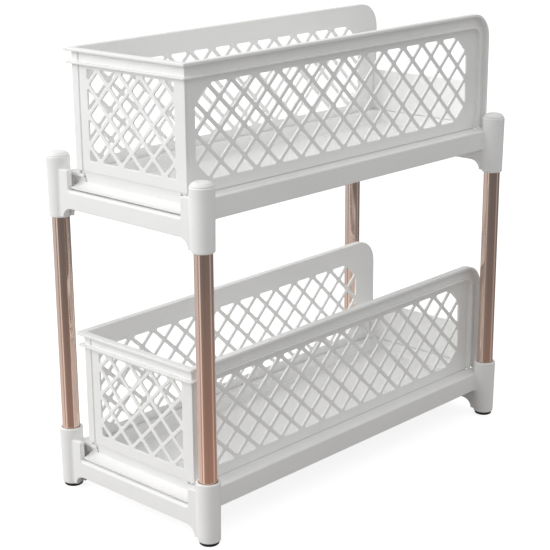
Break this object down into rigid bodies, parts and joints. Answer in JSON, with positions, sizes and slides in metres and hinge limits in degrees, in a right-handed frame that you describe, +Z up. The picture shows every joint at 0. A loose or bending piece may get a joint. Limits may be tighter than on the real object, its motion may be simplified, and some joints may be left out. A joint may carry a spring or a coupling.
{
  "type": "organiser rack",
  "caption": "Two-tier organiser rack: moulded frames on metal tubes, each carrying a diamond-lattice basket with a low front that slides out over the frame.",
  "frame": {"origin": "on the floor, under the middle of the rack", "axes": "+Z up, +Y towards the front, the end the baskets pull out to, +X to the right seen from the rear"},
  "size_m": [0.189, 0.394, 0.3813],
  "materials": {
    "plastic": "satin",
    "metal": "polished",
    "rubber": "matte"
  },
  "bodies": {
    "rack": {"lower_frame": "plastic", "upper_frame": "plastic", "tube_rear_left": "metal", "tube_rear_right": "metal", "tube_front_left": "metal", "tube_front_right": "metal", "foot_rear_left": "rubber", "foot_rear_right": "rubber", "foot_front_left": "rubber", "foot_front_right": "rubber", "cap_rear_left": "plastic", "cap_rear_right": "plastic", "cap_front_left": "plastic", "cap_front_right": "plastic"},
    "lower_basket": {"lower_basket_base": "plastic", "lower_basket_left_panel": "plastic", "lower_basket_right_panel": "plastic", "lower_basket_rear_panel": "plastic", "lower_basket_front_panel": "plastic"},
    "upper_basket": {"upper_basket_base": "plastic", "upper_basket_left_panel": "plastic", "upper_basket_right_panel": "plastic", "upper_basket_rear_panel": "plastic", "upper_basket_front_panel": "plastic"}
  },
  "joints": [
    {"name": "lower_basket_slide", "type": "slide", "parent": "rack", "child": "lower_basket", "axis": [0, 1, 0], "range_m": [0, 0.24]},
    {"name": "upper_basket_slide", "type": "slide", "parent": "rack", "child": "upper_basket", "axis": [0, 1, 0], "range_m": [0, 0.24]}
  ]
}
